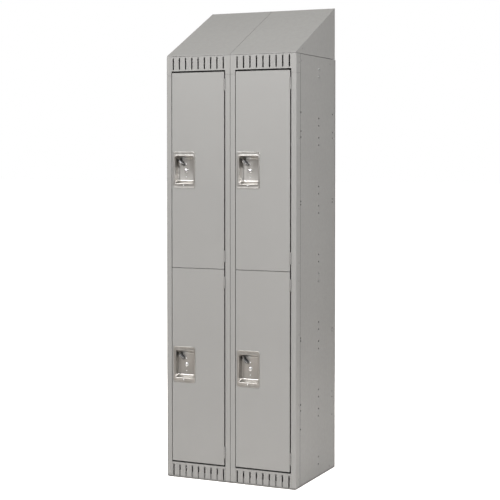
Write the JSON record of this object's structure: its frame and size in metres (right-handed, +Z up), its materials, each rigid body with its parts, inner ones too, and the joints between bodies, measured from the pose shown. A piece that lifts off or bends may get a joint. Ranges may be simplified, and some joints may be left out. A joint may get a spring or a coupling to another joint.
{
  "type": "locker cabinet",
  "caption": "Bank of sheet-steel lockers: inset doors on knuckle hinges, recessed handle cups with lift latches, vented header and kick plates, shelves behind, and a sloping hood on top.",
  "frame": {"origin": "on the floor under the middle of the cabinet's box", "axes": "+Z up; the doors face -Y; +X to the right when facing the doors"},
  "size_m": [0.6082, 0.4601, 2.0574],
  "materials": {
    "body_enamel": "grey baked enamel, satin",
    "door_enamel": "grey baked enamel, satin",
    "hinge_enamel": "grey baked enamel over steel, satin",
    "stainless_cup": "drawn stainless steel, lightly brushed",
    "zinc_latch": "zinc plated steel",
    "chrome_plug": "polished"
  },
  "bodies": {
    "frame": {"partition_panel": "body_enamel", "slope_joint_gusset": "body_enamel", "upright_left_latch_side": "body_enamel", "upright_left_hinge_side": "body_enamel", "header_left": "body_enamel", "kick_plate_left": "body_enamel", "mid_rail_left": "body_enamel", "top_panel_left": "body_enamel", "mid_shelf_left": "body_enamel", "bottom_panel_left": "body_enamel", "back_panel_left": "body_enamel", "end_panel_left": "body_enamel", "slope_panel_left": "body_enamel", "slope_end_left": "body_enamel", "upright_right_latch_side": "body_enamel", "upright_right_hinge_side": "body_enamel", "header_right": "body_enamel", "kick_plate_right": "body_enamel", "mid_rail_right": "body_enamel", "top_panel_right": "body_enamel", "mid_shelf_right": "body_enamel", "bottom_panel_right": "body_enamel", "back_panel_right": "body_enamel", "end_panel_right": "body_enamel", "slope_panel_right": "body_enamel", "slope_end_right": "body_enamel", "hinge_frame_leaf_upper_left_top": "hinge_enamel", "hinge_frame_leaf_upper_left_bottom": "hinge_enamel", "hinge_frame_leaf_lower_left_top": "hinge_enamel", "hinge_frame_leaf_lower_left_bottom": "hinge_enamel", "hinge_frame_leaf_upper_right_top": "hinge_enamel", "hinge_frame_leaf_upper_right_bottom": "hinge_enamel", "hinge_frame_leaf_lower_right_top": "hinge_enamel", "hinge_frame_leaf_lower_right_bottom": "hinge_enamel"},
    "door_upper_left": {"door_upper_left": "door_enamel", "cup_upper_left": "stainless_cup", "plug_upper_left": "chrome_plug", "hinge_door_leaf_upper_left_top": "hinge_enamel", "hinge_door_leaf_upper_left_bottom": "hinge_enamel"},
    "latch_upper_left": {"latch_upper_left": "zinc_latch"},
    "door_lower_left": {"door_lower_left": "door_enamel", "cup_lower_left": "stainless_cup", "plug_lower_left": "chrome_plug", "hinge_door_leaf_lower_left_top": "hinge_enamel", "hinge_door_leaf_lower_left_bottom": "hinge_enamel"},
    "latch_lower_left": {"latch_lower_left": "zinc_latch"},
    "door_upper_right": {"door_upper_right": "door_enamel", "cup_upper_right": "stainless_cup", "plug_upper_right": "chrome_plug", "hinge_door_leaf_upper_right_top": "hinge_enamel", "hinge_door_leaf_upper_right_bottom": "hinge_enamel"},
    "latch_upper_right": {"latch_upper_right": "zinc_latch"},
    "door_lower_right": {"door_lower_right": "door_enamel", "cup_lower_right": "stainless_cup", "plug_lower_right": "chrome_plug", "hinge_door_leaf_lower_right_top": "hinge_enamel", "hinge_door_leaf_lower_right_bottom": "hinge_enamel"},
    "latch_lower_right": {"latch_lower_right": "zinc_latch"}
  },
  "joints": [
    {"name": "door_hinge_upper_left", "type": "hinge", "parent": "frame", "child": "door_upper_left", "pos_m": [-0.0266, -0.2276, 1.3399], "axis": [0, 0, 1], "range_deg": [0, 120]},
    {"name": "latch_lift_upper_left", "type": "slide", "parent": "door_upper_left", "child": "latch_upper_left", "axis": [0, 0, 1], "range_m": [-0.003, 0.0025]},
    {"name": "door_hinge_lower_left", "type": "hinge", "parent": "frame", "child": "door_lower_left", "pos_m": [-0.0266, -0.2276, 0.4956], "axis": [0, 0, 1], "range_deg": [0, 120]},
    {"name": "latch_lift_lower_left", "type": "slide", "parent": "door_lower_left", "child": "latch_lower_left", "axis": [0, 0, 1], "range_m": [-0.003, 0.0025]},
    {"name": "door_hinge_upper_right", "type": "hinge", "parent": "frame", "child": "door_upper_right", "pos_m": [0.2782, -0.2276, 1.3399], "axis": [0, 0, 1], "range_deg": [0, 120]},
    {"name": "latch_lift_upper_right", "type": "slide", "parent": "door_upper_right", "child": "latch_upper_right", "axis": [0, 0, 1], "range_m": [-0.003, 0.0025]},
    {"name": "door_hinge_lower_right", "type": "hinge", "parent": "frame", "child": "door_lower_right", "pos_m": [0.2782, -0.2276, 0.4956], "axis": [0, 0, 1], "range_deg": [0, 120]},
    {"name": "latch_lift_lower_right", "type": "slide", "parent": "door_lower_right", "child": "latch_lower_right", "axis": [0, 0, 1], "range_m": [-0.003, 0.0025]}
  ]
}
